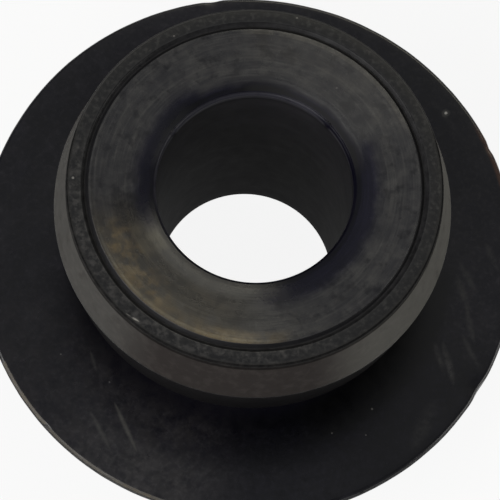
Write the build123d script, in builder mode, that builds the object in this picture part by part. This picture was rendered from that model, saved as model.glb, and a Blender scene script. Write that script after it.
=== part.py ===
"""A moulded rubber sealing bushing: a flanged sleeve whose barbed head snaps through a
round hole in a panel, while a tube is pressed through its bore. Millimetres, +Z up, with
the origin on the bore's axis at the foot of the collar."""

import os
from math import radians, tan

from build123d import *

# Bore, which grips the tube
bore_diameter = 12.0
bore_exit_break = 0.3

# Collar below the flange
collar_length = 4.5
collar_wall = 3.4
collar_draft = 4.0
collar_foot_break = 0.5
collar_root_round = 0.8

# Flange, a thin lip that lifts a little towards its rim
flange_width = 7.6
flange_root_thickness = 2.0
flange_rim_thickness = 1.1
flange_lift = 0.16
flange_rim_break = 0.2

# Neck, the groove that the panel sits in
neck_wall = 4.4
neck_length = 4.4
neck_round = 0.4

# Head, a barb with a slow undercut below its widest edge and a lead-in above it
barb_overhang = 1.95
barb_round = 0.3
undercut_length = 5.1
undercut_angle = 5.5
undercut_lip_break = 0.2
lead_in_length = 3.6
lead_in_angle = 14.8

# Crown: an upright land, a flat shoulder, a fine ring groove and a dish round the bore
land_height = 0.4
shoulder_width = 1.02
shoulder_break = 0.12
groove_width = 0.36
groove_depth = 0.42
dish_rim_break = 0.12
dish_angle = 7.5
mouth_width = 1.4
mouth_drop = 0.4

# Radii
bore_radius = bore_diameter / 2
collar_foot_radius = bore_radius + collar_wall
collar_root_radius = collar_foot_radius + collar_length * tan(radians(collar_draft))
neck_radius = bore_radius + neck_wall
flange_radius = neck_radius + flange_width
barb_radius = neck_radius + barb_overhang
lip_radius = barb_radius - undercut_length * tan(radians(undercut_angle))
land_radius = barb_radius - lead_in_length * tan(radians(lead_in_angle))
groove_outer_radius = land_radius - shoulder_width
groove_inner_radius = groove_outer_radius - groove_width
groove_radius = (groove_outer_radius + groove_inner_radius) / 2
mouth_radius = bore_radius + mouth_width

# Heights
neck_foot_height = collar_length + flange_root_thickness
rim_top_height = neck_foot_height + flange_lift
rim_bottom_height = rim_top_height - flange_rim_thickness
lip_height = neck_foot_height + neck_length
barb_height = lip_height + undercut_length
land_foot_height = barb_height + lead_in_length
crown_height = land_foot_height + land_height
mouth_height = crown_height - (groove_inner_radius - mouth_radius) * tan(radians(dish_angle))
bore_edge_height = mouth_height - mouth_drop

# Corners of the half section, each a radius and a height
bore_edge = (bore_radius, bore_edge_height)
bore_exit = (bore_radius, 0)
collar_foot = (collar_foot_radius, 0)
collar_root = (collar_root_radius, collar_length)
rim_bottom = (flange_radius, rim_bottom_height)
rim_top = (flange_radius, rim_top_height)
neck_foot = (neck_radius, neck_foot_height)
neck_top = (neck_radius, lip_height)
undercut_lip = (lip_radius, lip_height)
barb_edge = (barb_radius, barb_height)
land_foot = (land_radius, land_foot_height)
crown_edge = (land_radius, crown_height)
groove_outer = (groove_outer_radius, crown_height)
groove_floor = (groove_radius, crown_height - groove_depth)
groove_inner = (groove_inner_radius, crown_height)
mouth_edge = (mouth_radius, mouth_height)

breaks = (
    (bore_exit, bore_exit_break),
    (collar_foot, collar_foot_break),
    (rim_bottom, flange_rim_break),
    (rim_top, flange_rim_break),
    (undercut_lip, undercut_lip_break),
    (crown_edge, shoulder_break),
    (groove_inner, dish_rim_break),
)
rounds = (
    (collar_root, collar_root_round),
    (neck_foot, neck_round),
    (barb_edge, barb_round),
)

with BuildPart() as bushing:
    # The half section runs down the bore, out round the flange and up over the crown
    with BuildSketch(Plane.XZ) as section:
        with BuildLine():
            outline = Polyline(
                bore_edge,
                bore_exit,
                collar_foot,
                collar_root,
                rim_bottom,
                rim_top,
                neck_foot,
                neck_top,
                undercut_lip,
                barb_edge,
                land_foot,
                crown_edge,
                groove_outer,
                groove_floor,
                groove_inner,
                mouth_edge,
            )
            TangentArc(mouth_edge, bore_edge, tangent=outline % 1)
        make_face()
        for place, size in breaks:
            chamfer(section.vertices().sort_by_distance(place)[0], size)
        for place, size in rounds:
            fillet(section.vertices().sort_by_distance(place)[0], size)
    revolve(axis=Axis.Z)

bushing.part.label = "bushing"
os.makedirs("parts", exist_ok=True)
export_step(bushing.part, "parts/bushing.step")
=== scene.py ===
"""Dresses the sealing bushing: one black rubber moulding, turned from its half section by
Geometry Nodes, with the wear, grit and stain of a used part, and some painted shade and highlights."""

import logging
import math
from collections.abc import Sequence
from dataclasses import dataclass
from enum import Enum
from functools import cache, reduce

import bpy
from mathutils import Matrix, Vector


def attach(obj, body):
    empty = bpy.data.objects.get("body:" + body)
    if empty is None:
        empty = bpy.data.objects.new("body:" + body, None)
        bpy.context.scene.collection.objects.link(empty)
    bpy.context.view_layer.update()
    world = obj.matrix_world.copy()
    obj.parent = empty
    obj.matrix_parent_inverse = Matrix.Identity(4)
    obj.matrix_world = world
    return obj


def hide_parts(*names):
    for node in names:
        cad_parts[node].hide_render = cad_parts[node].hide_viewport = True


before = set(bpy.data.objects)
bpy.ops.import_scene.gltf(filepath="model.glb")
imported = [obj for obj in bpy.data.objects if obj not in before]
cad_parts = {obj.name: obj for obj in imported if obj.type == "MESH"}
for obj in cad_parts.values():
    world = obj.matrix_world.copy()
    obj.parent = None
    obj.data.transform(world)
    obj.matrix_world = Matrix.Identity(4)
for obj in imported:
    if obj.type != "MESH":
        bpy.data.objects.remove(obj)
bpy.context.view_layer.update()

MM = 0.001
log = logging.getLogger("bushing")

Socket = bpy.types.NodeSocket
Sockets = bpy.types.bpy_prop_collection
Kinds = dict[str, str]
Point = tuple[float, float]
Colour = tuple[float, float, float]
Tree, Node = bpy.types.NodeTree, bpy.types.Node
Object, Material = bpy.types.Object, bpy.types.Material

# A film's azimuth, half angle and soft edge in degrees
Sector = tuple[float, float, float]
# A cloud's scale, and the noise at which its patches start and are full
Cloud = tuple[float, float, float]

# Vector Math operations that give a number
MEASURES = ("DISTANCE", "DOT_PRODUCT", "LENGTH")
MASK: Kinds = {"Mask": "Float"}
WHITE = (1.0, 1.0, 1.0, 1.0)


class Blend(Enum):
    """How a layer of colour is laid over the one below it."""

    COVER = "MIX"
    DARKEN = "MULTIPLY"
    LIGHTEN = "ADD"


class Part(Enum):
    """The parts of the moulding with a rubber of their own, by the lathe's input for each."""

    BODY = "Material"
    FACE = "Face Material"
    BORE = "Bore Material"
    GRIMY = "Grimy Material"


class Wiring:
    """Adds nodes to a tree and wires them in one call each."""

    def __init__(self, tree: Tree) -> None:
        """Keeps the shader or geometry tree to build in."""
        self.tree = tree

    def feed(self, socket: Socket, value: object) -> None:
        """Links a socket to an output, or sets its value.

        Args:
            socket: the input to feed.
            value: another node's output, a plain value, or None to leave it as it is.
        """
        if isinstance(value, bpy.types.NodeSocket):
            self.tree.links.new(value, socket)
        elif value is not None:
            socket.default_value = value

    def node(self, kind: str, inputs: dict | None = None, **settings: object) -> Node:
        """Adds a node.

        Args:
            kind: the node's Blender type.
            inputs: values or outputs for its inputs, by name or index.
            settings: its properties.

        Returns:
            The new node.
        """
        made = self.tree.nodes.new(kind)
        for name, value in settings.items():
            setattr(made, name, value)
        for key, value in (inputs or {}).items():
            self.feed(made.inputs[key], value)
        return made

    def out(self, kind: str, inputs: dict | None = None, **settings: object) -> Socket:
        """The first output of a new node."""
        return self.node(kind, inputs, **settings).outputs[0]

    def group(self, tree: Tree, **inputs: object) -> Node:
        """Places a node group.

        Args:
            tree: the group's tree.
            inputs: its inputs by name, with underscores for spaces.

        Returns:
            The group's node.
        """
        kind = "ShaderNodeGroup" if tree.type == "SHADER" else "GeometryNodeGroup"
        named = {name.replace("_", " "): value for name, value in inputs.items()}
        return self.node(kind, named, node_tree=tree)

    def math(self, operation: str, *values: object, clamp: bool = False) -> Socket:
        """The result of a Math node, kept between 0 and 1 where clamp says so."""
        inputs = dict(enumerate(values))
        return self.out("ShaderNodeMath", inputs, operation=operation, use_clamp=clamp)

    def times(self, *values: object) -> Socket:
        """The product of some values."""
        return reduce(lambda product, value: self.math("MULTIPLY", product, value), values)

    def plus(self, first: object, second: object) -> Socket:
        """The sum of two values."""
        return self.math("ADD", first, second)

    def minus(self, first: object, second: object) -> Socket:
        """The first value less the second."""
        return self.math("SUBTRACT", first, second)

    def vector(self, operation: str, *values: object) -> Socket:
        """The result of a Vector Math node, a number or a vector as the operation gives."""
        made = self.node("ShaderNodeVectorMath", dict(enumerate(values)), operation=operation)
        return made.outputs["Value" if operation in MEASURES else "Vector"]

    def scaled(self, vector: Socket, scale: object) -> Socket:
        """A vector times a number."""
        inputs = {0: vector, "Scale": scale}
        return self.node("ShaderNodeVectorMath", inputs, operation="SCALE").outputs["Vector"]

    def ramp(self, value: Socket, start: object, end: object, low: object = 0.0,
             high: object = 1.0) -> Socket:
        """A smooth step from low to high while the value goes from start to end."""
        inputs = {"Value": value, "From Min": start, "From Max": end, "To Min": low, "To Max": high}
        return self.node("ShaderNodeMapRange", inputs,
                         interpolation_type="SMOOTHSTEP").outputs["Result"]

    def fade(self, value: Socket, size: float, ends: Point) -> Socket:
        """A smooth step between two distances from a size, all in millimetres."""
        return self.ramp(value, (size + ends[0]) * MM, (size + ends[1]) * MM)

    def split(self, vector: Socket) -> tuple[Socket, ...]:
        """The X, Y and Z of a vector."""
        return tuple(self.node("ShaderNodeSeparateXYZ", {0: vector}).outputs)

    def join(self, x: object = 0.0, y: object = 0.0, z: object = 0.0) -> Socket:
        """The vector with an X, a Y and a Z."""
        return self.out("ShaderNodeCombineXYZ", {0: x, 1: y, 2: z})

    def noise(self, vector: Socket, scale: object, *, detail: float = 3.0,
              roughness: float = 0.5) -> Socket:
        """The value of a Noise Texture, from 0 to 1."""
        inputs = {"Vector": vector, "Scale": scale, "Detail": detail, "Roughness": roughness}
        return self.out("ShaderNodeTexNoise", inputs)

    def blend(self, factor: object, below: object, above: Colour, way: Blend) -> Socket:
        """One colour laid over another, as far as the factor says."""
        inputs = {0: factor, 6: below, 7: (*above, 1.0)}
        return self.node("ShaderNodeMix", inputs, data_type="RGBA", blend_type=way.value).outputs[2]

    def mix(self, factor: object, below: object, above: object) -> Socket:
        """A number between two others, as far as the factor says."""
        inputs = {0: factor, 2: below, 3: above}
        return self.out("ShaderNodeMix", inputs, data_type="FLOAT")

    def close(self, out: Sockets, **values: object) -> Tree:
        """Finishes a group.

        Args:
            out: what the group puts out.
            values: what each output is, by name.

        Returns:
            The group's tree.
        """
        for name, value in values.items():
            self.feed(out[name], value)
        return self.tree


def floats(*names: str) -> Kinds:
    """The kinds of some sockets that are all numbers."""
    return dict.fromkeys(names, "Float")


def vectors(*names: str) -> Kinds:
    """The kinds of some sockets that are all vectors."""
    return dict.fromkeys(names, "Vector")


def new_group(name: str, inputs: Kinds, outputs: Kinds = MASK,
              kind: str = "Shader") -> tuple[Wiring, Sockets, Sockets]:
    """Starts a node group with named sockets.

    Args:
        name: the group's name.
        inputs: socket kinds by name.
        outputs: socket kinds by name.
        kind: Shader or Geometry.

    Returns:
        The group's wiring, what it is given, and what it puts out.
    """
    tree = bpy.data.node_groups.new(name, kind + "NodeTree")
    for way, sockets in (("INPUT", inputs), ("OUTPUT", outputs)):
        for label, socket in sockets.items():
            tree.interface.new_socket(label, in_out=way, socket_type="NodeSocket" + socket)
    given = tree.nodes.new("NodeGroupInput").outputs
    return Wiring(tree), given, tree.nodes.new("NodeGroupOutput").inputs


def set_inputs(modifier: bpy.types.NodesModifier, values: dict[str, object]) -> None:
    """Sets a modifier's inputs through their sockets' identifiers.

    Args:
        modifier: the Geometry Nodes modifier.
        values: what its inputs are set to, by name.
    """
    for item in modifier.node_group.interface.items_tree:
        if item.item_type == "SOCKET" and item.in_out == "INPUT" and item.name in values:
            modifier[item.identifier] = values[item.name]


def add_object(name: str, data: object) -> Object:
    """Makes an object and links it into the scene.

    Args:
        name: the object's name.
        data: its mesh, lamp or camera.

    Returns:
        The object.
    """
    made = bpy.data.objects.new(name, data)
    bpy.context.scene.collection.objects.link(made)
    return made


def bake(name: str, source: Object) -> Object:
    """Turns an object's evaluated shape into a plain mesh object at the origin.

    Args:
        name: the new piece's name.
        source: the object with its modifier, which is removed.

    Returns:
        The new object.
    """
    bpy.context.view_layer.update()
    depsgraph = bpy.context.evaluated_depsgraph_get()
    mesh = bpy.data.meshes.new_from_object(source.evaluated_get(depsgraph))
    mesh.name = name
    bpy.data.objects.remove(source)
    return add_object(name, mesh)


def blank_wiring(owner: Material | bpy.types.World) -> Wiring:
    """Clears a material or world.

    Args:
        owner: the material or world.

    Returns:
        The wiring of its empty tree.
    """
    owner.use_nodes = True
    owner.node_tree.nodes.clear()
    return Wiring(owner.node_tree)


def polar(radius: float, azimuth: float, height: float = 0.0) -> Vector:
    """The place at a radius, an azimuth in degrees and a height."""
    turn = math.radians(azimuth)
    return Vector((radius * math.cos(turn), radius * math.sin(turn), height))


def arc(centre: Vector, first: Vector, sweep: float, pieces: int) -> list[Point]:
    """The points along an arc, with both its ends.

    Args:
        centre: its centre.
        first: the arm from the centre to its start.
        sweep: the angle that it turns through, in radians.
        pieces: how many pieces it is cut into.

    Returns:
        The points.
    """
    points = []
    for i in range(pieces + 1):
        cosine, sine = math.cos(sweep * i / pieces), math.sin(sweep * i / pieces)
        points.append((centre.x + first.x * cosine - first.y * sine,
                       centre.y + first.x * sine + first.y * cosine))
    return points


@dataclass(frozen=True)
class Ring:
    """A ring in radius and height with soft edges, in millimetres."""

    inner: float
    outer: float
    low: float
    high: float
    soft: float = 0.12
    wander: float = 0.0


@dataclass(frozen=True)
class Corner:
    """A corner of the half section and the radius it is rounded to, in millimetres."""

    radius: float
    height: float
    round: float = 0.0

    def point(self) -> Vector:
        """Its place in the half section."""
        return Vector((self.radius, self.height))


@dataclass(frozen=True)
class Section:
    """The moulding's half section, in millimetres, with the sizes of the real part."""

    bore: float = 6.0
    bore_edge: float = 19.255
    wall: float = 6.16
    collar_foot: float = 9.4
    collar_root: float = 9.715
    collar_length: float = 4.5
    rim: float = 18.0
    rim_bottom: float = 5.56
    rim_top: float = 6.66
    neck: float = 10.4
    neck_foot: float = 6.5
    lip: float = 11.859
    lip_height: float = 10.9
    barb: float = 12.35
    barb_height: float = 16.0
    land: float = 11.399
    land_foot: float = 19.6
    crown: float = 20.0
    groove_outer: float = 10.48
    groove_inner: float = 10.019
    groove_filled: float = 0.24
    crest: float = 9.9
    bevel: float = 9.76
    mouth: float = 7.4
    mouth_height: float = 19.655
    coarse_step: float = 0.75
    face_step: float = 0.42
    fine_step: float = 0.065
    round_step: float = 14.0
    fewest_pieces: int = 3
    roll_pieces: int = 14
    flange_curl: float = 0.6
    curl_azimuth: float = 84.0
    curl_start: float = -0.1
    curl_end: float = 0.75
    flange_start: float = 12.45
    level_margin: float = 0.1
    clear: float = 0.5

    def corners(self) -> list[Corner]:
        """The section's corners from the foot of the bore round to the bore's mouth.

        Returns:
            The corners.
        """
        groove = (self.groove_outer + self.groove_inner) / 2
        return [
            Corner(self.bore, 0.0, 0.3),
            Corner(self.collar_foot, 0.0, 0.6),
            Corner(self.collar_root, self.collar_length, 0.8),
            Corner(self.rim, self.rim_bottom, 0.22),
            Corner(self.rim, self.rim_top, 0.3),
            Corner(self.neck, self.neck_foot, 0.4),
            Corner(self.neck, self.lip_height, 0.3),
            Corner(self.lip, self.lip_height, 0.25),
            Corner(self.barb, self.barb_height, 0.3),
            Corner(self.land, self.land_foot, 0.12),
            Corner(self.land, self.crown, 0.16),
            Corner(self.groove_outer, self.crown, 0.12),
            Corner(groove, self.crown - self.groove_filled, 0.1),
            Corner(self.groove_inner, self.crown, 0.06),
            Corner(self.crest, self.crown, 0.05),
            Corner(self.bevel, self.top_height(self.bevel), 0.05),
            Corner(self.mouth, self.mouth_height),
            Corner(self.bore, self.bore_edge, 0.3),
        ]

    def step(self, start: Point, end: Point) -> float:
        """How far apart points stand on a straight stretch.

        Args:
            start: the stretch's start.
            end: the stretch's end.

        Returns:
            The distance in millimetres.
        """
        outer, low = max(start[0], end[0]), min(start[1], end[1])
        if low > self.mouth_height - self.level_margin and outer < self.groove_outer:
            return self.fine_step
        seen_from_above = outer > self.lip and low > self.rim_bottom + 3 * self.level_margin
        return self.face_step if seen_from_above else self.coarse_step

    def mouth_roll(self) -> list[Point]:
        """The arc that rolls from the dished face into the bore, without its two ends.

        Returns:
            Its points.
        """
        start = Vector((self.mouth, self.mouth_height))
        end = Vector((self.bore, self.bore_edge))
        face = Vector((self.mouth - self.groove_inner, self.mouth_height - self.crown)).normalized()
        chord = end - start
        inward = Vector((face.y, -face.x))
        if inward.dot(chord) < 0:
            inward = -inward
        centre = start + inward * (chord.length_squared / (2 * inward.dot(chord)))
        first = start - centre
        return arc(centre, first, -first.angle_signed(end - centre), self.roll_pieces)[1:-1]

    def rounded(self) -> list[list[Point]]:
        """Each corner as its own run of points, rounded where it has a radius.

        Returns:
            The runs in order.
        """
        corners = self.corners()
        runs = []
        for i, corner in enumerate(corners):
            here, before = corner.point(), corners[i - 1].point()
            after = corners[(i + 1) % len(corners)].point()
            if corner.round == 0:
                runs.append([tuple(here)])
                continue
            back, ahead = (before - here).normalized(), (after - here).normalized()
            half = back.angle(ahead) / 2
            reach = corner.round / math.tan(half)
            centre = here + (back + ahead).normalized() * (corner.round / math.sin(half))
            first, last = here + back * reach - centre, here + ahead * reach - centre
            sweep = first.angle_signed(last)
            pieces = round(abs(math.degrees(sweep)) / self.round_step)
            runs.append(arc(centre, first, -sweep, max(self.fewest_pieces, pieces)))
        return runs

    def top_height(self, radius: float) -> float:
        """The height of the upper side at a radius.

        Args:
            radius: the distance from the axis.

        Returns:
            The height.
        """
        if radius > self.barb:
            out = (radius - self.neck) / (self.rim - self.neck)
            return self.neck_foot + out * (self.rim_top - self.neck_foot)
        if radius > self.groove_outer:
            return self.crown
        in_from_rim = (self.groove_inner - radius) / (self.groove_inner - self.mouth)
        return self.crown - in_from_rim * (self.crown - self.mouth_height)

    def curl(self, radius: float, azimuth: float) -> float:
        """How far the flange is curled up at a place, as the lathe's tree lifts it.

        Args:
            radius: the distance from the axis.
            azimuth: the angle in degrees.

        Returns:
            The lift.
        """
        along = math.cos(math.radians(azimuth - self.curl_azimuth))
        lift = self.flange_curl
        for value, start, end in ((along, self.curl_start, self.curl_end),
                                  (radius, self.flange_start, self.rim)):
            share = min(max((value - start) / (end - start), 0.0), 1.0)
            lift *= share * share * (3 - 2 * share)
        return lift

    def on_top(self, radius: float, azimuth: float) -> Vector:
        """The place on the upper side at a radius and azimuth."""
        return polar(radius, azimuth, self.top_height(radius) + self.curl(radius, azimuth))

    def outline(self) -> list[Point]:
        """The whole closed outline, with points along its straight stretches.

        Returns:
            Its points.
        """
        runs = self.rounded()
        mouth_run = len(runs) - 2
        points: list[Point] = []
        for i, run in enumerate(runs):
            points.extend(run)
            if i == mouth_run:
                points.extend(self.mouth_roll())
                continue
            start, end = Vector(run[-1]), Vector(runs[(i + 1) % len(runs)][0])
            count = max(1, round((end - start).length / self.step(tuple(start), tuple(end))))
            points.extend(tuple(start.lerp(end, k / count)) for k in range(1, count))
        return points

    def crown_ring(self, inner: float, outer: float, soft: float, wander: float = 0.0) -> Ring:
        """A ring on the crown, from well below it to clear above it."""
        low, high = self.crown - 2 * self.clear, self.crown + self.clear
        return Ring(inner, outer, low, high, soft, wander)

    def flange_ring(self, inner: float, outer: float, soft: float) -> Ring:
        """A ring on the flange, through its whole thickness."""
        low, high = self.rim_bottom - self.clear, self.rim_top + self.clear
        return Ring(inner, outer, low, high, soft)

    def band_ring(self, soft: float) -> Ring:
        """The ring of the head's lead-in."""
        outer = self.barb + 2 * self.clear
        return Ring(self.land, outer, self.barb_height, self.land_foot, soft)


@dataclass(frozen=True)
class Nick:
    """A small dent or cut, placed by its radius, azimuth and height."""

    radius: float
    azimuth: float
    height: float
    reach: float
    depth: float

    def centre(self) -> Vector:
        """Its centre in metres."""
        return polar(self.radius, self.azimuth, self.height) * MM


@dataclass
class Moulding:
    """The bushing's body, turned from its half section and then made uneven."""

    section: Section
    turns: int = 400
    pitch_radius: float = 10.0
    rim_wear: float = 0.12
    rim_reach: float = 1.6
    flange_warp: float = 0.09
    skin_wear: float = 0.007
    ridge_height: float = 0.006
    ridges_up: Point = (-0.25, -0.1)
    ridges_in: Point = (-0.05, -0.25)
    ridges_out: Point = (0.15, 0.9)
    foot_fade: Point = (0.1, 0.7)
    slow_scale: float = 180.0
    quick_scale: float = 900.0
    quick_share: float = 0.35
    warp_scale: float = 0.9
    ring_scale: float = 4200.0
    skin_scale: float = 650.0
    nicks: Sequence[Nick] = (
        Nick(11.25, -125.1, 19.95, 0.35, 0.1),
        Nick(10.96, -174.9, 20.0, 0.2, 0.04),
        Nick(6.02, 150.6, 19.25, 0.3, 0.07),
        Nick(6.02, 48.7, 19.25, 0.32, 0.08),
        Nick(6.02, -8.0, 19.25, 0.25, 0.05),
        Nick(18.0, -131.2, 6.6, 0.45, 0.12),
        Nick(18.0, -26.0, 6.4, 1.2, 0.14),
        Nick(18.0, 29.7, 6.5, 0.6, 0.08),
        Nick(18.0, -152.0, 6.5, 0.8, 0.07),
        Nick(18.0, 104.0, 6.5, 0.9, 0.08),
    )

    def profile(self) -> Object:
        """The half section as a closed loop of edges in the XZ plane.

        Returns:
            The loop.
        """
        points = self.section.outline()
        mesh = bpy.data.meshes.new("half_section")
        vertices = [(radius * MM, 0.0, height * MM) for radius, height in points]
        edges = [(i, (i + 1) % len(points)) for i in range(len(points))]
        mesh.from_pydata(vertices, edges, [])
        log.info("half section: %d points", len(points))
        return add_object("half_section", mesh)

    def sizes(self) -> dict[str, float]:
        """The lathe's sizes in millimetres, by the input for each."""
        return {
            "Pitch Radius": self.pitch_radius, "Rim Wear": self.rim_wear,
            "Flange Warp": self.flange_warp, "Flange Curl": self.section.flange_curl,
            "Skin Wear": self.skin_wear, "Ridge Height": self.ridge_height,
        }

    def nick_group(self) -> Tree:
        """Makes the group that says how deep one nick is at a point.

        Returns:
            Its tree.
        """
        w, given, out = new_group("nick", vectors("Position", "Centre")
                                  | floats("Reach", "Depth"), floats("Cut"), "Geometry")
        distance = w.vector("DISTANCE", given["Position"], given["Centre"])
        return w.close(out, Cut=w.ramp(distance, 0.0, given["Reach"], given["Depth"], 0.0))

    def tree(self) -> Tree:
        """Makes the lathe, which turns the half section, wears it and dresses it.

        Returns:
            Its tree.
        """
        inputs = {"Geometry": "Geometry", "Turns": "Int", **floats(*self.sizes())}
        inputs |= {part.value: "Material" for part in Part}
        w, given, out = new_group("turned_moulding", inputs, {"Geometry": "Geometry"}, "Geometry")
        spot = w.out("GeometryNodeInputPosition")
        x, y, height = w.split(spot)
        across = w.join(x, y)
        radius, outward = w.vector("LENGTH", across), w.vector("NORMALIZE", across)
        offset = self.wear(w, given, spot, radius, height, outward)
        worn = w.out("GeometryNodeSetPosition",
                     {"Geometry": self.turned(w, given), "Offset": offset})
        smooth = w.out("GeometryNodeSetShadeSmooth", {0: worn})
        dressed = w.out("GeometryNodeRealizeInstances", {0: smooth})
        for part, faces in self.selections(w, radius, height).items():
            dressed = w.out("GeometryNodeSetMaterial", {
                "Geometry": dressed, "Selection": faces, "Material": given[part.value]})
        return w.close(out, Geometry=dressed)

    def turned(self, w: Wiring, given: Sockets) -> Socket:
        """Turns the half section round the bore's axis.

        Args:
            w: the lathe's wiring.
            given: its inputs.

        Returns:
            The turned mesh.
        """
        x, _, z = w.split(w.out("GeometryNodeInputPosition"))
        flat = w.join(w.minus(x, given["Pitch Radius"]), w.times(z, -1.0))
        laid = w.out("GeometryNodeSetPosition", {"Geometry": given["Geometry"], "Position": flat})
        loop = w.out("GeometryNodeMeshToCurve", {0: laid})
        circle = w.out("GeometryNodeCurvePrimitiveCircle",
                       {"Resolution": given["Turns"], "Radius": given["Pitch Radius"]})
        swept = w.out("GeometryNodeCurveToMesh", {"Curve": circle, "Profile Curve": loop})
        return w.out("GeometryNodeFlipFaces", {"Mesh": swept})

    def wear(self, w: Wiring, given: Sockets, spot: Socket, radius: Socket, height: Socket,
             outward: Socket) -> Socket:
        """Chews the rim, lifts the flange, rings the dish and dents the skin.

        Args:
            w: the lathe's wiring.
            given: its inputs.
            spot: the place.
            radius: the distance from the axis.
            height: the height above the foot.
            outward: the direction away from the axis.

        Returns:
            How far a point moves.
        """
        s = self.section
        on_rim = w.fade(radius, s.rim, (-self.rim_reach, 0.0))
        slow = w.times(w.noise(spot, self.slow_scale, detail=2.0), 1 - self.quick_share)
        quick = w.times(w.noise(spot, self.quick_scale, roughness=0.6), self.quick_share)
        chewed = w.times(w.plus(slow, quick), on_rim, given["Rim Wear"], -1.0)

        on_flange = w.fade(radius, 0.0, (s.flange_start, s.rim))
        warp = w.minus(w.noise(outward, self.warp_scale, detail=1.0), 0.5)
        along = w.vector("DOT_PRODUCT", outward, polar(1.0, s.curl_azimuth))
        rearward = w.ramp(along, s.curl_start, s.curl_end)
        lift = w.plus(w.times(warp, on_flange, given["Flange Warp"]),
                      w.times(rearward, on_flange, given["Flange Curl"]))

        above = w.fade(height, s.mouth_height, self.ridges_up)
        inside = w.fade(radius, s.groove_inner, self.ridges_in)
        outside = w.fade(radius, s.bore, self.ridges_out)
        rings = w.node("ShaderNodeTexNoise", noise_dimensions="1D")
        for name, value in (("W", radius), ("Scale", self.ring_scale), ("Detail", 1.0)):
            w.feed(rings.inputs[name], value)
        ridge = w.times(rings.outputs[0], w.times(above, inside, outside), given["Ridge Height"])

        clear_of_foot = w.fade(height, 0.0, self.foot_fade)
        skin = w.noise(spot, self.skin_scale, roughness=0.55)
        depth = w.times(skin, clear_of_foot, given["Skin Wear"])
        nick_group = self.nick_group()
        for nick in self.nicks:
            cut = w.group(nick_group, Position=spot, Centre=nick.centre(), Reach=nick.reach * MM,
                          Depth=nick.depth * MM)
            depth = w.plus(depth, cut.outputs[0])
        normal = w.out("GeometryNodeInputNormal")
        moved = w.vector("ADD", w.scaled(outward, chewed), w.join(z=w.minus(lift, ridge)))
        return w.vector("ADD", moved, w.scaled(normal, w.times(depth, -1.0)))

    def selections(self, w: Wiring, radius: Socket, height: Socket) -> dict[Part, Socket | None]:
        """Picks the faces of the dish, of the bore, and of what is dull with grime.

        Args:
            w: the lathe's wiring.
            radius: the distance from the axis.
            height: the height above the foot.

        Returns:
            Whether a face has each rubber, in the order in which they are laid on.
        """
        s = self.section
        foot, sky, far = -s.crown, 2 * s.crown, 2 * s.clear
        rings = {
            Part.FACE: [Ring(s.wall, s.groove_inner, s.bore_edge - 0.3, sky)],
            Part.BORE: [Ring(-s.wall, s.wall, foot, sky)],
            Part.GRIMY: [
                Ring(s.groove_inner + 0.03, s.groove_outer + 0.02, s.crown - far, s.crown + 0.1),
                Ring(s.land - 0.12, s.barb + far, s.lip_height - 0.1, s.crown - 0.012),
                Ring(s.neck - 0.1, s.barb, s.lip_height - 0.1, s.barb_height - 0.1),
                Ring(s.rim - 0.1, s.rim + far, s.rim_bottom - 0.1, s.rim_top - 0.14),
            ],
        }
        picked: dict[Part, Socket | None] = {Part.BODY: None}
        for part, areas in rings.items():
            insides = [w.times(*(w.math(test, value, edge * MM) for test, value, edge in (
                ("GREATER_THAN", radius, area.inner), ("LESS_THAN", radius, area.outer),
                ("GREATER_THAN", height, area.low), ("LESS_THAN", height, area.high),
            ))) for area in areas]
            picked[part] = reduce(lambda one, other: w.math("MAXIMUM", one, other), insides)
        return picked

    def build(self, rubbers: dict[Part, Material]) -> Object:
        """Makes the body as a plain mesh.

        Args:
            rubbers: the material of each part.

        Returns:
            The finished piece.
        """
        source = self.profile()
        modifier = source.modifiers.new("turned", "NODES")
        modifier.node_group = self.tree()
        set_inputs(modifier, {"Turns": self.turns}
                   | {name: size * MM for name, size in self.sizes().items()}
                   | {part.value: rubber for part, rubber in rubbers.items()})
        return bake("bushing_body", source)


@dataclass(frozen=True)
class Zone:
    """A ring of the moulding with a colour and roughness of its own; at the mouth the colour is
    painted shade.
    """

    name: str
    ring: Ring
    colour: Colour
    roughness: float


# Cosines and noise below any that occur, so that the masks they start are full
ALL_ROUND = (-3.0, -2.0)
NO_GAPS: Cloud = (1.0, -1.0, -0.5)


@dataclass(frozen=True)
class Film:
    """A cloudy layer over a ring, held to a sector and laid over what is below; most are deposits,
    some are painted shade, sheen or highlights.
    """

    name: str
    ring: Ring
    sector: Sector | None
    colour: Colour
    strength: float
    cloud: Cloud | None = None
    way: Blend = Blend.LIGHTEN
    dull: float = 0.0

    def mask_inputs(self) -> dict[str, object]:
        """What the film group needs to know.

        A film without a sector goes all the way round, and one without a cloud has no gaps.

        Returns:
            The group's inputs.
        """
        centre, (outer, inner) = Vector((1.0, 0.0, 0.0)), ALL_ROUND
        if self.sector:
            azimuth, half, soft = self.sector
            centre = polar(1.0, azimuth)
            outer = math.cos(math.radians(min(half + soft, 180.0)))
            inner = math.cos(math.radians(half))
        scale, low, high = self.cloud or NO_GAPS
        return {"Centre": centre, "Outer_Cosine": outer, "Inner_Cosine": inner,
                "Scale": scale, "Cloud_Low": low, "Cloud_High": high}


@dataclass(frozen=True)
class Lines:
    """Fine lines round the bore: their pitch, how far they run, and how they fade in."""

    pitch: float
    arc: float
    low: float
    high: float
    colour: Colour
    strength: float = 1.0


@dataclass(frozen=True)
class Speck:
    """A grain or chip, placed by radius and azimuth on the upper side."""

    radius: float
    azimuth: float
    size: float
    colour: Colour
    strength: float = 1.0


@dataclass(frozen=True)
class Scratch:
    """A straight mark between two places on the upper side."""

    start: Point
    end: Point
    width: float
    colour: Colour
    strength: float = 1.0
    broken: float = 0.35


PALE: Colour = (0.3, 0.29, 0.27)
DUSTY: Colour = (0.055, 0.053, 0.05)
GREY: Colour = (0.03, 0.029, 0.029)
# The blue-black of the painted shade on the roll round the bore's mouth
MOUTH_SHADE: Colour = (0.1, 0.09, 0.3)

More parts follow.
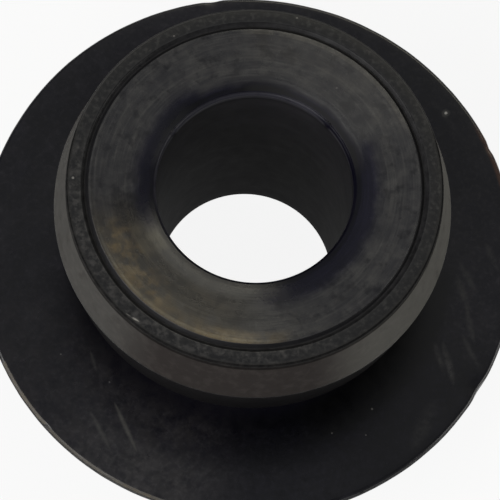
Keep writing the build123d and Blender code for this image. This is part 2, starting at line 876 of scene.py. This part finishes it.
BORE_BANDS = Lines(1.6, 1.1, 0.42, 0.68, (0.0055, 0.0052, 0.006))
TURNED_LINES = Lines(0.11, 2.2, 0.45, 0.75, (0.02, 0.0195, 0.0175), 0.9)
STREAKS = Lines(0.5, 2.4, 0.44, 0.66, (0.0125, 0.012, 0.01), 0.9)

FACE_SPECK = Speck(8.04, 57.5, 0.05, PALE, 0.25)
SPECKS: tuple[Speck, ...] = (
    Speck(16.57, 41.6, 0.24, (0.12, 0.118, 0.11), 0.5),
    Speck(16.57, 41.6, 0.095, (0.62, 0.61, 0.58)),
    Speck(11.11, 82.6, 0.05, PALE, 0.35),
    Speck(10.73, 123.8, 0.05, PALE, 0.35),
    Speck(10.96, -174.9, 0.07, PALE, 0.55),
    Speck(13.55, -47.3, 0.06, PALE, 0.2),
    Speck(13.62, -60.4, 0.06, PALE, 0.16),
    Speck(14.75, -52.7, 0.05, PALE, 0.16),
    Speck(12.9, -128.5, 0.05, PALE, 0.25),
    Speck(14.3, -143.0, 0.05, PALE, 0.25),
)

SCRATCHES: tuple[Scratch, ...] = (
    Scratch((15.15, -126.6), (16.34, -117.0), 0.26, DUSTY, 0.75),
    Scratch((13.67, -123.6), (15.57, -111.4), 0.24, (0.08, 0.078, 0.07), 0.8),
    Scratch((12.54, -139.8), (13.05, -133.2), 0.2, DUSTY, 0.4),
    Scratch((11.22, -126.8), (11.08, -122.0), 0.1, (0.45, 0.43, 0.39), 0.9, 0.5),
    *(Scratch(start, end, width, GREY, strength, broken)
      for start, end, width, strength, broken in (
          ((14.0, -0.5), (15.3, -10.6), 0.42, 0.8, 0.8),
          ((14.1, 3.0), (15.5, -4.9), 0.36, 0.7, 0.8),
          ((15.0, -9.0), (16.2, -17.0), 0.34, 0.8, 0.8),
          ((14.3, -20.0), (16.4, -28.5), 0.4, 0.85, 0.8),
          ((13.8, -21.0), (15.5, -27.5), 0.32, 0.7, 0.8),
          ((15.9, 8.0), (16.8, 1.0), 0.36, 0.7, 0.8),
          ((15.2, -16.0), (17.2, -22.0), 0.3, 0.6, 0.8),
          ((16.0, -34.0), (17.3, -46.0), 0.8, 0.35, 0.9),
          ((16.4, 47.0), (16.5, 36.0), 0.4, 0.3, 0.8),
      )),
)


# How finely a ring's edge wanders, and noise breaks up the edge of a speck and a scratch
WANDER_SCALE, RAGGED_SCALE, GAP_SCALE = 0.75, 5.0, 2.6
# The shares of a speck's size at which it starts to fade and is gone
SPECK_FADE = (0.6, 1.5)
# The share of a scratch's width that is left at its tips
SCRATCH_TIP = 0.3
# The noise below which a scratch has a gap, and above which it is whole
SCRATCH_GAPS = (0.3, 0.62)


@cache
def place_group() -> Tree:
    """Makes the group that turns Object coordinates into radius, height and direction.

    Returns:
        Its tree.
    """
    w, given, out = new_group("place_on_bushing", vectors("Object"),
                              floats("Radius", "Height") | vectors("Direction", "Spot"))
    spot = w.scaled(given["Object"], 1 / MM)
    x, y, z = w.split(spot)
    across = w.join(x, y)
    return w.close(out, Radius=w.vector("LENGTH", across), Height=z,
                   Direction=w.vector("NORMALIZE", across), Spot=spot)


@cache
def zone_group() -> Tree:
    """Makes the group that masks a ring in radius and height.

    Returns:
        Its tree.
    """
    w, given, out = new_group("zone_mask", floats("Radius", "Height", "Inner", "Outer", "Low",
                                                  "High", "Soft"))
    masks = []
    for value, low, high in (("Radius", "Inner", "Outer"), ("Height", "Low", "High")):
        below, over = w.minus(given[low], given["Soft"]), w.plus(given[high], given["Soft"])
        masks.append(w.ramp(given[value], below, given[low]))
        masks.append(w.ramp(given[value], given[high], over, 1.0, 0.0))
    return w.close(out, Mask=w.times(*masks))


@cache
def film_group() -> Tree:
    """Makes the group that breaks a sector into cloudy patches.

    Returns:
        Its tree.
    """
    w, given, out = new_group("film_mask", vectors("Direction", "Spot", "Centre") | floats(
        "Outer Cosine", "Inner Cosine", "Scale", "Cloud Low", "Cloud High"))
    along = w.vector("DOT_PRODUCT", given["Direction"], given["Centre"])
    sector = w.ramp(along, given["Outer Cosine"], given["Inner Cosine"])
    cloud = w.noise(given["Spot"], given["Scale"], detail=5.0, roughness=0.6)
    return w.close(out, Mask=w.times(sector, w.ramp(cloud, given["Cloud Low"],
                                                    given["Cloud High"])))


@cache
def speck_group() -> Tree:
    """Makes the group that masks one ragged speck.

    Returns:
        Its tree.
    """
    w, given, out = new_group("speck_mask", vectors("Spot", "Centre") | floats("Size"))
    size = given["Size"]
    distance = w.vector("DISTANCE", given["Spot"], given["Centre"])
    noise = w.noise(given["Spot"], RAGGED_SCALE, detail=2.0)
    ragged = w.plus(distance, w.times(w.minus(noise, 0.5), size))
    start, end = (w.times(size, share) for share in SPECK_FADE)
    return w.close(out, Mask=w.ramp(ragged, start, end, 1.0, 0.0))


@cache
def scratch_group() -> Tree:
    """Makes the group that masks one broken scratch between two places.

    Returns:
        Its tree.
    """
    w, given, out = new_group("scratch_mask", vectors("Spot", "Start", "End")
                              | floats("Width", "Broken"))
    run = w.vector("SUBTRACT", given["End"], given["Start"])
    off = w.vector("SUBTRACT", given["Spot"], given["Start"])
    along = w.math("DIVIDE", w.vector("DOT_PRODUCT", off, run),
                   w.vector("DOT_PRODUCT", run, run), clamp=True)
    distance = w.vector("DISTANCE", off, w.scaled(run, along))
    fade = w.times(along, w.minus(1.0, along), 4.0)
    share = w.plus(w.times(fade, 1.0 - SCRATCH_TIP), SCRATCH_TIP)
    line = w.ramp(distance, 0.0, w.times(given["Width"], share), 1.0, 0.0)
    noise = w.noise(given["Spot"], GAP_SCALE, detail=4.0, roughness=0.65)
    gaps = w.ramp(noise, *SCRATCH_GAPS)
    kept = w.minus(1.0, w.times(given["Broken"], w.minus(1.0, gaps)))
    return w.close(out, Mask=w.times(line, kept, w.math("POWER", fade, 0.5)))


@cache
def lines_group() -> Tree:
    """Makes the group of fine concentric lines left by wear round the bore.

    Returns:
        Its tree.
    """
    w, given, out = new_group("concentric_lines", vectors("Direction")
                              | floats("Radius", "Height", "Pitch", "Arc"), floats("Lines"))
    x, y, _ = w.split(given["Direction"])
    across = w.math("DIVIDE", w.minus(given["Radius"], given["Height"]), given["Pitch"])
    place = w.join(across, w.times(x, given["Arc"]), w.times(y, given["Arc"]))
    return w.close(out, Lines=w.noise(place, 1.0, roughness=0.7))


class Coat:
    """A material's colour and roughness, built up layer by layer."""

    def __init__(self, w: Wiring, base: Colour, roughness: float) -> None:
        """Starts with the bare rubber.

        Args:
            w: the material's wiring.
            base: its colour.
            roughness: its roughness.
        """
        self.w = w
        coordinates = w.node("ShaderNodeTexCoord").outputs["Object"]
        place = w.group(place_group(), Object=coordinates).outputs
        self.radius, self.height = place["Radius"], place["Height"]
        self.spot, self.direction = place["Spot"], place["Direction"]
        slow = w.noise(self.spot, WANDER_SCALE, detail=4.0, roughness=0.6)
        self.wandering = w.minus(slow, 0.5)
        self.colour: object = (*base, 1.0)
        self.roughness: object = roughness

    def lay(self, mask: object, colour: Colour, way: Blend = Blend.COVER) -> None:
        """Lays a colour on where a mask says."""
        self.colour = self.w.blend(mask, self.colour, colour, way)

    def ring(self, area: Zone | Film) -> Socket:
        """Masks the ring of a zone or film, and labels the mask with its name.

        Args:
            area: the zone or film.

        Returns:
            The mask.
        """
        radius, ring = self.radius, area.ring
        if ring.wander:
            radius = self.w.plus(radius, self.w.times(self.wandering, ring.wander))
        mask = self.w.group(zone_group(), Radius=radius, Height=self.height, Inner=ring.inner,
                            Outer=ring.outer, Low=ring.low, High=ring.high, Soft=ring.soft)
        mask.label = area.name
        return mask.outputs[0]

    def concentric(self, lines: Lines) -> Socket:
        """The noise that draws some lines round the bore."""
        return self.w.group(lines_group(), Radius=self.radius, Height=self.height,
                            Direction=self.direction, Pitch=lines.pitch, Arc=lines.arc).outputs[0]

    def add_zone(self, zone: Zone) -> None:
        """Gives a zone its finish.

        Args:
            zone: the zone.
        """
        mask = self.ring(zone)
        self.lay(mask, zone.colour)
        self.roughness = self.w.mix(mask, self.roughness, zone.roughness)

    def add_lines(self, lines: Lines) -> None:
        """Lays lines on round the bore."""
        fine = self.w.ramp(self.concentric(lines), lines.low, lines.high)
        self.lay(self.w.times(fine, lines.strength), lines.colour, Blend.LIGHTEN)

    def add_film(self, film: Film) -> None:
        """Lays a film on.

        Args:
            film: the film.
        """
        patches = self.w.group(film_group(), Direction=self.direction, Spot=self.spot,
                               **film.mask_inputs())
        mask = self.w.times(self.ring(film), patches.outputs[0])
        self.lay(self.w.times(mask, film.strength), film.colour, film.way)
        if film.dull:
            self.roughness = self.w.plus(self.roughness, self.w.times(mask, film.dull))

    def add_scratch(self, scratch: Scratch, section: Section) -> None:
        """Draws a scratch on the upper side."""
        mark = self.w.group(
            scratch_group(), Spot=self.spot, Start=section.on_top(*scratch.start),
            End=section.on_top(*scratch.end), Width=scratch.width, Broken=scratch.broken)
        self.lay(self.w.times(mark.outputs[0], scratch.strength), scratch.colour)

    def add_speck(self, speck: Speck, section: Section) -> None:
        """Puts a speck on the upper side."""
        mark = self.w.group(speck_group(), Spot=self.spot, Size=speck.size,
                            Centre=section.on_top(speck.radius, speck.azimuth))
        self.lay(self.w.times(mark.outputs[0], speck.strength), speck.colour)


@dataclass(frozen=True)
class Rubber:
    """The black rubber: zones of finish, films of dust, stain, painted shade and painted
    highlights, marks and fine lines.
    """

    name: str
    section: Section
    part: Part
    base: Colour = (0.0023, 0.002, 0.005)
    base_roughness: float = 0.3
    anisotropy: float = 0.0
    specular: float = 0.5
    grain: float = 0.16
    line_depth: float = 0.0
    lines: Sequence[Lines] = ()
    specks: Sequence[Speck] = ()
    scratches: Sequence[Scratch] = ()
    cloud_scale: float = 1.1
    cloud_roughness: float = 0.16
    grain_scale: float = 3.0
    grain_depth: float = 0.02
    quarter_turn: float = 0.25

    def zones(self) -> list[Zone]:
        """The zones from the foot up.

        Returns:
            The zones.
        """
        s = self.section
        over = s.crown + s.clear
        return [
            Zone("undercut", Ring(s.lip - 0.3, s.barb + 0.3, s.lip_height, s.barb_height),
                 (0.0036, 0.0032, 0.0036), 0.34),
            Zone("band", Ring(s.land - 0.25, s.barb + 0.3, s.barb_height + 0.2,
                              s.land_foot + 0.02, 0.25, 0.15), (0.0205, 0.0168, 0.0156), 0.8),
            Zone("shoulder", Ring(s.groove_outer, s.land + 0.3, s.land_foot + 0.2, over),
                 (0.0062, 0.0061, 0.0068), 0.34),
            Zone("dish", Ring(s.bore + 0.6, s.groove_inner + 0.1, s.bore_edge - 0.3, over,
                              0.4, 0.3), (0.0222, 0.0219, 0.0238), 0.27),
            # The mouth's blue-black is painted shade along the bore's edge, all the way round
            Zone("mouth", Ring(s.bore - 0.5, s.bore + 0.3, s.bore_edge - 0.4,
                               s.mouth_height + 0.1, 0.25, 0.2), (0.0022, 0.0019, 0.0062), 0.3),
        ]

    def flange_films(self) -> list[Film]:
        """The deposits, painted shade and painted highlights on the flange, from the broadest to
        the smallest.

        Returns:
            The films.
        """
        s = self.section
        lip, edge = s.flange_ring, s.rim + 2 * s.clear
        films = [
            Film("flange dust", lip(12.6, edge, 0.5), None, (0.0045, 0.0042, 0.0048), 1.0,
                 (0.9, 0.4, 0.66)),
            Film("flange grain", lip(12.6, edge, 0.5), None, (0.0125, 0.0118, 0.0122), 0.8,
                 (3.2, 0.46, 0.72)),
            # Brownish dust, and painted light: the flange lighter on its front left
            Film("front left dust and light", lip(13.0, edge, 3.0), (-122, 24, 24), (0.015, 0.0138, 0.0118),
                 0.9, (1.3, 0.2, 0.8)),
            Film("front rim dust", lip(15.6, edge, 1.2), (-92, 20, 20), (0.02, 0.0192, 0.018),
                 0.9, (1.6, 0.2, 0.65)),
            # Painted shade: the flange darkened on its left, out from the head
            Film("left flange shade", lip(11.5, edge, 1.5), (172, 35, 30), (0.35, 0.33, 0.4), 0.8,
                 (0.7, 0.2, 0.6), Blend.DARKEN),
            Film("front right shade", lip(12.0, 18.5, 1.5), (-55, 25, 22), (0.2, 0.2, 0.3), 0.95,
                 (0.5, 0.0, 0.4), Blend.DARKEN),
            Film("foot shade", lip(11.5, 13.4, 0.9), (-32, 26, 14), (0.1, 0.1, 0.18), 1.0, None,
                 Blend.DARKEN),
        ]
        # Painted highlights: cream lines along the rim's upper edge at the front left
        for name, width, sector, colour, strength in (
            ("rim highlight rear", 0.26, (-139.5, 7.6, 0.8), (0.085, 0.072, 0.05), 0.9),
            ("rim highlight front", 0.22, (-117, 12.5, 3), (0.046, 0.038, 0.022), 0.9),
            ("rim highlight tail", 0.2, (-96, 10, 8), (0.026, 0.02, 0.011), 0.8),
        ):
            ring = Ring(s.rim - width, edge, s.rim_top - 0.16, s.rim_top + s.clear, 0.06)
            films.append(Film(name, ring, sector, colour, strength, (1.6, 0.2, 0.6), dull=0.3))
        return films + [Film("rim rust", lip(s.rim - 0.35, edge, 0.2), (27, 5, 5),
                             (0.06, 0.026, 0.012), 0.8, (1.4, 0.2, 0.5))]

    def head_films(self) -> list[Film]:
        """The deposits, painted sheen, painted shade, painted highlight and a darkened line on the
        head's side, shoulder and groove.

        Returns:
            The films.
        """
        s = self.section
        top, band, over = s.crown_ring, s.band_ring, s.crown + s.clear
        return [
            Film("band dust", band(0.25), None, (0.011, 0.01, 0.0092), 0.8, (1.5, 0.46, 0.66)),
            # Painted sheen: the lead-in lighter at its right and left sides, standing in for
            # reflected light
            Film("band right sheen", band(0.3), (-16, 28, 24), (0.066, 0.067, 0.06), 0.9,
                 (0.8, 0.1, 0.5)),
            Film("band left sheen", band(0.3), (-160, 24, 24), (0.04, 0.042, 0.039), 0.8,
                 (0.8, 0.1, 0.5)),
            Film("shoulder dust",
                 Ring(s.groove_outer + 0.15, s.land + 0.2, s.land_foot, over, 0.15), None,
                 (0.03, 0.029, 0.027), 0.8, (3.4, 0.45, 0.7)),
            Film("shoulder front",
                 Ring(s.groove_outer + 0.1, s.land + 0.2, s.land_foot, over, 0.15), (-125, 45, 30),
                 (0.034, 0.032, 0.03), 0.9, (2.4, 0.44, 0.66)),
            Film("shoulder blots", Ring(s.groove_outer, s.land + 0.2, s.land_foot, over, 0.15),
                 None, (0.3, 0.3, 0.32), 0.8, (1.7, 0.54, 0.7), Blend.DARKEN),
            Film("groove dust", top(s.groove_inner + 0.26, s.groove_outer + 0.05, 0.1), None,
                 (0.013, 0.0128, 0.013), 0.9, (2.4, 0.25, 0.7)),
            # Painted shade: the groove's inner edge darkened and dulled
            Film("groove shade", top(s.groove_inner - 0.02, s.groove_inner + 0.14, 0.16), None,
                 (0.3, 0.3, 0.32), 0.85, (1.3, 0.1, 0.5), Blend.DARKEN, 0.2),
            # Darkens and dulls the line where the shoulder meets the lead-in
            Film("land dark line",
                 Ring(s.land - 0.14, s.land + 0.3, s.land_foot - 0.12, s.crown + 0.1, 0.14), None,
                 (0.1, 0.09, 0.09), 0.85, (1.2, 0.0, 0.45), Blend.DARKEN, 0.4),
            # Painted highlight: a thin light line along the crown's outer edge at the rear
            Film("crown edge highlight",
                 Ring(s.land - 0.14, s.land + 0.2, s.crown - 0.3, s.crown + 0.1, 0.05),
                 (95, 66, 12), (0.04, 0.0395, 0.039), 0.9, (1.8, 0.1, 0.5)),
        ]

    def dish_films(self) -> list[Film]:
        """The clouds and stains on the dished face, the painted shade round its mouth and the
        painted highlights on its crest.

        Returns:
            The films.
        """
        s = self.section
        top, inner = s.crown_ring, s.groove_inner + 0.02
        whole = top(s.mouth, inner, 0.5)
        crest = top(9.74, s.crest + 0.06, 0.05)
        return [
            Film("dish cloud", whole, None, (0.014, 0.0135, 0.012), 0.8, (0.75, 0.4, 0.7)),
            Film("dish mottle", whole, None, (0.014, 0.0135, 0.0118), 0.8, (1.6, 0.46, 0.68)),
            Film("dark patches", whole, None, (0.3, 0.3, 0.34), 0.75, (1.1, 0.5, 0.68),
                 Blend.DARKEN),
            Film("stain rim", top(9.45, inner, 0.7), (-112, 20, 14), (0.044, 0.032, 0.01), 0.8,
                 (1.0, 0.34, 0.74)),
            Film("stain middle", top(8.2, 9.4, 0.5), (-138, 13, 10), (0.06, 0.043, 0.014), 0.9,
                 (1.5, 0.38, 0.66)),
            Film("stain veil", top(7.6, 9.8, 0.7), (-128, 22, 22), (1.0, 0.86, 0.6), 0.9,
                 (0.9, 0.2, 0.6), Blend.DARKEN),
            Film("stain mouth", top(6.7, 7.8, 0.4), (-146, 5, 6), (0.05, 0.044, 0.026), 0.8,
                 (1.3, 0.2, 0.5)),
            Film("stain front", top(9.5, inner, 0.35), (-90, 9, 12), (0.06, 0.044, 0.02), 0.8,
                 (1.3, 0.3, 0.6)),
            Film("stain upper right", top(8.6, inner, 0.8), (62, 28, 14), (0.007, 0.006, 0.004),
                 0.8, (0.9, 0.35, 0.65)),
            # Painted shade on the roll round the mouth, wide on the left, top and rear
            Film("left mouth shade", top(5.0, s.mouth - 0.6, 1.0, 0.9), (168, 37, 10), MOUTH_SHADE, 0.97, None,
                 Blend.DARKEN),
            Film("top mouth shade", top(5.0, s.mouth - 1.0, 0.7, 0.5), (118, 26, 22), MOUTH_SHADE, 0.97, None,
                 Blend.DARKEN),
            Film("rear mouth shade", top(5.0, s.mouth - 0.95, 0.5, 0.5), (60, 36, 14), MOUTH_SHADE, 0.97, None,
                 Blend.DARKEN, 0.7),
            Film("worn ring", top(7.45, 8.3, 0.6, 0.6), (-125, 32, 16), (0.3, 0.28, 0.28), 0.85,
                 (1.1, 0.15, 0.6), Blend.DARKEN),
            # Painted shade on the roll round the mouth, on the right
            Film("right mouth shade", top(5.0, s.mouth - 0.3, 1.0, 1.0), (-27, 52, 9), MOUTH_SHADE, 0.97, None,
                 Blend.DARKEN),
            # Painted highlights: light lines on the dish rim's crest, in the rear and front sectors
            Film("rear crest highlight", crest, (64, 32, 8), (0.026, 0.024, 0.018), 0.9, (1.6, 0.2, 0.5)),
            Film("front crest highlight", crest, (-114, 22, 14), (0.045, 0.036, 0.019), 0.9, (2.0, 0.2, 0.5)),
        ]

    def bore_films(self) -> list[Film]:
        """The deposits on the bore's wall, and the painted highlight on its edge.

        Returns:
            The films.
        """
        s = self.section
        return [
            Film("bore film", Ring(0.0, s.bore + 0.2, -1.0, s.bore_edge, 0.1), None,
                 (0.0024, 0.0024, 0.003), 0.9, (0.55, 0.4, 0.7)),
            # Painted highlight: a light line along the bore's edge on the left and rear
            Film("bore edge highlight",
                 Ring(0.0, s.bore + 0.12, s.bore_edge - 0.25, s.bore_edge + 0.06, 0.06),
                 (140, 75, 20), (0.03, 0.03, 0.034), 0.9, (1.2, 0.2, 0.5)),
            Film("bore right", Ring(0.0, s.bore + 0.2, 7.0, 13.0, 2.5), (5, 25, 20),
                 (0.006, 0.0054, 0.0056), 0.9, (0.6, 0.2, 0.6)),
        ]

    def films(self) -> list[Film]:
        """The films that lie on this rubber's part: deposits, painted shade, sheen and highlights.

        Returns:
            The films.
        """
        if self.part is Part.FACE:
            return self.dish_films()
        outside = [] if self.part is Part.BORE else self.flange_films() + self.head_films()
        return outside if self.part is Part.GRIMY else outside + self.bore_films()

    def material(self) -> Material:
        """Builds the material.

        Returns:
            The material.
        """
        made = bpy.data.materials.new(self.name)
        w = blank_wiring(made)
        coat = Coat(w, self.base, self.base_roughness)
        for zone in self.zones():
            coat.add_zone(zone)
        for lines in self.lines:
            coat.add_lines(lines)
        for film in self.films():
            coat.add_film(film)
        for scratch in self.scratches:
            coat.add_scratch(scratch, self.section)
        for speck in self.specks:
            coat.add_speck(speck, self.section)

        cloud = w.minus(w.noise(coat.spot, self.cloud_scale, detail=4.0, roughness=0.6), 0.5)
        roughness = w.math("ADD", coat.roughness, w.times(cloud, self.cloud_roughness), clamp=True)
        grain = w.noise(coat.spot, self.grain_scale, detail=2.0)
        bump = w.node("ShaderNodeBump", {"Strength": self.grain, "Distance": self.grain_depth * MM,
                                         "Height": grain})
        if self.line_depth:
            bump = w.node("ShaderNodeBump", {
                "Strength": 1.0, "Distance": self.line_depth * MM,
                "Height": coat.concentric(TURNED_LINES), "Normal": bump.outputs[0]})
        shader = w.node("ShaderNodeBsdfPrincipled", {
            "Base Color": coat.colour, "Roughness": roughness, "Normal": bump.outputs[0],
            "Specular IOR Level": self.specular, "Anisotropic": self.anisotropy})
        if self.anisotropy:
            around = w.node("ShaderNodeTangent", direction_type="RADIAL", axis="Z")
            w.feed(shader.inputs["Tangent"], around.outputs[0])
            shader.inputs["Anisotropic Rotation"].default_value = self.quarter_turn
        w.node("ShaderNodeOutputMaterial", {"Surface": shader.outputs[0]})
        return made


@dataclass(frozen=True)
class PhotoCamera:
    """The camera that the photograph was taken with, fitted to the part's circles."""

    frame_px: float = 500.0
    focal_px: float = 1943.0
    sensor: float = 36.0
    place: tuple[float, float, float] = (0.0, -38.65, 130.41)
    tilt: float = 72.7
    pan: float = 0.2
    roll: float = 6.5

    def build(self) -> None:
        """Makes the camera and sets it as the scene's."""
        data = bpy.data.cameras.new("photo_camera")
        data.sensor_width = self.sensor
        data.lens = self.sensor * self.focal_px / self.frame_px
        data.clip_start = 1 * MM
        camera = add_object("photo_camera", data)
        place = Matrix.Translation(Vector(self.place) * MM)
        turns = ((-self.pan, "Z"), (90.0 - self.tilt, "X"), (self.roll, "Z"))
        camera.matrix_world = reduce(Matrix.__matmul__, (
            Matrix.Rotation(math.radians(angle), 4, axis) for angle, axis in turns), place)
        bpy.context.scene.camera = camera


@dataclass(frozen=True)
class Softbox:
    """A rectangular lamp, aimed at the bushing, in degrees, metres and watts."""

    name: str
    azimuth: float
    elevation: float
    distance: float
    width: float
    depth: float
    watts: float
    colour: Colour

    def build(self, target: Vector) -> None:
        """Makes the lamp.

        Args:
            target: what it points at.
        """
        data = bpy.data.lights.new(self.name, "AREA")
        data.shape = "RECTANGLE"
        data.size = self.width
        data.size_y = self.depth
        data.energy = self.watts
        data.color = self.colour
        lamp = add_object(self.name, data)
        rise = math.radians(self.elevation)
        away = polar(math.cos(rise), self.azimuth, math.sin(rise))
        lamp.location = target + away * self.distance
        lamp.rotation_euler = away.to_track_quat("Z", "Y").to_euler()


@dataclass
class Studio:
    """A plain pale floor under soft light."""

    floor_half: float = 3.0
    floor_drop: float = 0.01
    floor_white: float = 0.9
    floor_sheen: float = 0.3
    paper: Colour = (0.8, 0.8, 0.8)
    sky: float = 0.15
    sky_colour: Colour = (0.93, 0.95, 1.0)
    softboxes: Sequence[Softbox] = (
        Softbox("window", 73.5, 42.0, 1.0, 0.7, 0.28, 2.1, (1.0, 0.955, 0.78)),
        Softbox("fill", -137.0, 32.0, 1.6, 2.2, 0.85, 26.0, (1.0, 0.99, 0.97)),
        Softbox("ceiling", 118.0, 71.0, 1.2, 0.85, 0.85, 0.38, (0.94, 0.96, 1.0)),
        Softbox("side", -8.0, 15.0, 1.3, 0.9, 0.5, 4.5, (1.0, 0.99, 0.95)),
    )

    def floor(self) -> None:
        """Makes the floor."""
        half = self.floor_half
        mesh = bpy.data.meshes.new("floor")
        corners = [(-half, -half), (half, -half), (half, half), (-half, half)]
        mesh.from_pydata([(x, y, -self.floor_drop * MM) for x, y in corners], [], [(0, 1, 2, 3)])
        made = add_object("floor", mesh)
        mesh.materials.append(self.floor_material())

    def floor_material(self) -> Material:
        """Makes the floor's material, which looks white but keeps the shadow on it.

        Returns:
            The material.
        """
        made = bpy.data.materials.new("pale_floor")
        w = blank_wiring(made)
        rays = w.node("ShaderNodeLightPath").outputs
        direct = w.math("MAXIMUM", rays["Is Camera Ray"], rays["Is Transmission Ray"])
        mirrored = w.times(rays["Is Glossy Ray"], self.floor_sheen)
        seen = w.math("MAXIMUM", w.times(direct, self.floor_white), mirrored)
        paper = w.node("ShaderNodeBsdfDiffuse", {"Color": (*self.paper, 1.0)})
        white = w.node("ShaderNodeEmission", {"Color": WHITE, "Strength": 1.0})
        shown = w.node("ShaderNodeMixShader", {0: seen, 1: paper.outputs[0], 2: white.outputs[0]})
        w.node("ShaderNodeOutputMaterial", {"Surface": shown.outputs[0]})
        return made

    def world(self) -> None:
        """Makes a soft grey sky that the camera sees as white."""
        made = bpy.data.worlds.new("studio")
        w = blank_wiring(made)
        rays = w.node("ShaderNodeLightPath").outputs
        grey = w.node("ShaderNodeBackground",
                      {"Color": (*self.sky_colour, 1.0), "Strength": self.sky})
        white = w.node("ShaderNodeBackground", {"Color": WHITE, "Strength": 1.0})
        seen = w.math("MAXIMUM", rays["Is Camera Ray"], rays["Is Transmission Ray"])
        shown = w.node("ShaderNodeMixShader", {0: seen, 1: grey.outputs[0], 2: white.outputs[0]})
        w.node("ShaderNodeOutputWorld", {"Surface": shown.outputs[0]})
        bpy.context.scene.world = made

    def build(self, target: Vector) -> None:
        """Makes the floor, the sky and the lamps.

        Args:
            target: what the lamps point at.
        """
        self.floor()
        self.world()
        for softbox in self.softboxes:
            softbox.build(target)


def main() -> None:
    """Builds the studio, the camera and the dressed bushing."""
    logging.basicConfig(level=logging.INFO, format="%(name)s: %(message)s")
    bpy.context.scene.view_settings.view_transform = "Standard"
    section = Section()
    PhotoCamera().build()
    Studio().build(Vector((0.0, 0.0, section.barb_height * MM)))
    rubbers = (
        Rubber("black_rubber", section, Part.BODY, specks=SPECKS, scratches=SCRATCHES),
        Rubber("turned_face_rubber", section, Part.FACE, anisotropy=0.95, line_depth=0.012,
               lines=(TURNED_LINES, STREAKS), specks=(FACE_SPECK,)),
        Rubber("bore_rubber", section, Part.BORE, (0.0034, 0.0031, 0.0042), 0.6, specular=0.16,
               lines=(BORE_BANDS,)),
        Rubber("grimy_rubber", section, Part.GRIMY, (0.0024, 0.0023, 0.0029), 0.6,
               specular=0.14, grain=0.04),
    )
    body = Moulding(section).build({rubber.part: rubber.material() for rubber in rubbers})
    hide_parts("bushing")
    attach(body, "root")
    log.info("%s: %d faces", body.name, len(body.data.polygons))


if __name__ == "__main__":
    main()
